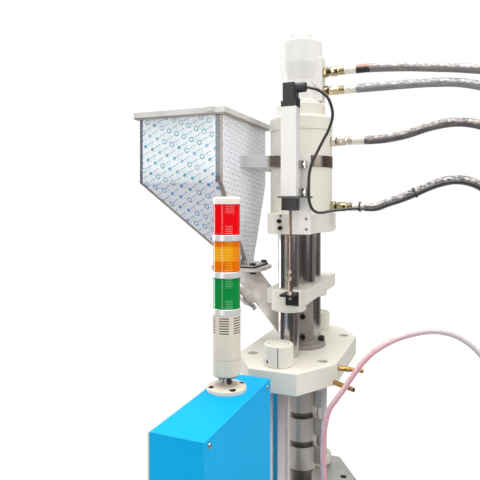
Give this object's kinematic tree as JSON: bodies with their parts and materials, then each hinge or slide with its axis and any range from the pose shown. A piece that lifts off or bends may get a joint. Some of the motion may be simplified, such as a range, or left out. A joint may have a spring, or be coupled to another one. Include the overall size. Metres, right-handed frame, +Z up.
{
  "type": "vertical injection moulding machine",
  "caption": "A vertical two-column injection moulding machine with a hydraulic injection unit, a side hopper, hoses and a three-colour signal tower.",
  "frame": {"origin": "on the floor, under the barrel axis", "axes": "+Z up along the barrel; the two columns stand along Y; -X is the operator's side and the hoses leave towards +X"},
  "size_m": [0.98, 0.867, 2.303],
  "materials": {
    "machine_feet": "levelling feet on pads",
    "base_cabinet": "blue powder coat",
    "side_panels": "light blue sheet panels",
    "table_plate": "cream paint",
    "tie_bars": "hard chrome, ground",
    "tie_bar_nuts": "cream paint",
    "fixed_platen": "ground steel",
    "moving_platen": "ground steel",
    "clamp_ram": "hard chrome",
    "clamp_cylinder": "grey paint",
    "pump_unit": "grey paint",
    "head_platen": "cream paint",
    "guide_rods": "hard chrome",
    "feed_housing": "cast and machined grey",
    "cleanout_cover": "cast grey",
    "outlet_gasket": "black",
    "hopper": "stainless sheet under printed protective film",
    "hopper_lid": "stainless sheet under protective film",
    "hopper_strap": "rolled band and two flat arms",
    "cylinder_flange": "cream paint",
    "cylinder_body": "cream paint",
    "cylinder_cap": "cream paint",
    "hydraulic_motor": "off-white paint",
    "drive_shaft": "ground",
    "piston_rod": "hard chrome",
    "feed_screw": "hard chrome",
    "barrel": "nitrided",
    "nozzle": "nitrided",
    "heater_bands": "sheet steel",
    "crosshead": "cream paint",
    "sensor_housing": "anodised",
    "sensor_caps": "black",
    "sensor_rod": "polished",
    "rod_bracket": "black oxide",
    "sensor_connector": "black",
    "carrier_plate": "white plate",
    "sensor_clamps": "zinc plated",
    "sensor_cable": "black jacket",
    "cable_ties": "black nylon",
    "cable_gland": "black nylon",
    "hose_fittings": "yellow zinc plated",
    "hydraulic_hose_1": "dark rubber cover",
    "hydraulic_hose_2": "dark rubber cover",
    "hydraulic_hose_3": "dark rubber cover",
    "hydraulic_hose_4": "dark rubber cover",
    "valve_manifold": "grey paint",
    "water_fittings": "brass",
    "water_hose": "dusty pink hose",
    "black_screws": "black oxide",
    "light_base": "light cream",
    "light_knob": "black",
    "light_body": "light cream",
    "light_rings": "bright plated rings",
    "lens_green": "green",
    "lens_amber": "amber",
    "lens_red": "red",
    "light_cap": "light cream",
    "control_box": "blue powder coat",
    "control_panel": "grey panel",
    "stop_button": "red"
  },
  "bodies": {
    "machine": {"machine_feet": "machine_feet", "base_cabinet": "base_cabinet", "side_panels": "side_panels", "table_plate": "table_plate", "tie_bars": "tie_bars", "tie_bar_nuts": "tie_bar_nuts", "fixed_platen": "fixed_platen", "clamp_cylinder": "clamp_cylinder", "pump_unit": "pump_unit", "head_platen": "head_platen", "guide_rods": "guide_rods", "feed_housing": "feed_housing", "cleanout_cover": "cleanout_cover", "outlet_gasket": "outlet_gasket", "hopper": "hopper", "hopper_strap": "hopper_strap", "cylinder_flange": "cylinder_flange", "cylinder_body": "cylinder_body", "cylinder_cap": "cylinder_cap", "hydraulic_motor": "hydraulic_motor", "barrel": "barrel", "nozzle": "nozzle", "heater_bands": "heater_bands", "sensor_housing": "sensor_housing", "sensor_caps": "sensor_caps", "sensor_connector": "sensor_connector", "carrier_plate": "carrier_plate", "sensor_clamps": "sensor_clamps", "sensor_cable": "sensor_cable", "cable_ties": "cable_ties", "cable_gland": "cable_gland", "hose_fittings": "hose_fittings", "hydraulic_hose_1": "hydraulic_hose_1", "hydraulic_hose_2": "hydraulic_hose_2", "hydraulic_hose_3": "hydraulic_hose_3", "hydraulic_hose_4": "hydraulic_hose_4", "valve_manifold": "valve_manifold", "water_fittings": "water_fittings", "water_hose": "water_hose", "black_screws": "black_screws", "light_base": "light_base", "light_knob": "light_knob", "control_box": "control_box", "control_panel": "control_panel"},
    "clamp": {"moving_platen": "moving_platen", "clamp_ram": "clamp_ram"},
    "lid": {"hopper_lid": "hopper_lid"},
    "drive": {"drive_shaft": "drive_shaft"},
    "crosshead": {"crosshead": "crosshead", "sensor_rod": "sensor_rod", "rod_bracket": "rod_bracket"},
    "plasticiser": {"piston_rod": "piston_rod", "feed_screw": "feed_screw"},
    "light": {"light_body": "light_body", "light_rings": "light_rings", "lens_green": "lens_green", "lens_amber": "lens_amber", "lens_red": "lens_red", "light_cap": "light_cap"},
    "stop": {"stop_button": "stop_button"}
  },
  "joints": [
    {"name": "platen_lift", "type": "slide", "parent": "machine", "child": "clamp", "axis": [0, 0, 1], "range_m": [0, 0.18]},
    {"name": "injection_stroke", "type": "slide", "parent": "machine", "child": "crosshead", "axis": [0, 0, 1], "range_m": [0, 0.105]},
    {"name": "screw_spin", "type": "hinge", "parent": "crosshead", "child": "plasticiser", "pos_m": [0, 0, 1.585], "axis": [0, 0, 1], "continuous": true},
    {"name": "motor_spin", "type": "hinge", "parent": "machine", "child": "drive", "pos_m": [0, 0, 2.185], "axis": [0, 0, 1], "continuous": true},
    {"name": "light_tilt", "type": "hinge", "parent": "machine", "child": "light", "pos_m": [-0.042, -0.339, 1.603], "axis": [0.7071, -0.7071, 0], "range_deg": [0, 30]},
    {"name": "lid_hinge", "type": "hinge", "parent": "machine", "child": "lid", "pos_m": [-0.2141, 0.0858, 2.107], "axis": [-1, 0, 0], "range_deg": [0, 100]},
    {"name": "stop_press", "type": "slide", "parent": "machine", "child": "stop", "axis": [1, 0, 0], "range_m": [0, 0.005], "stiffness_N_per_m": 600, "springref_m": -0.004}
  ],
  "couplings": [
    {"joint": "motor_spin", "follows": "screw_spin", "ratio": 1}
  ]
}
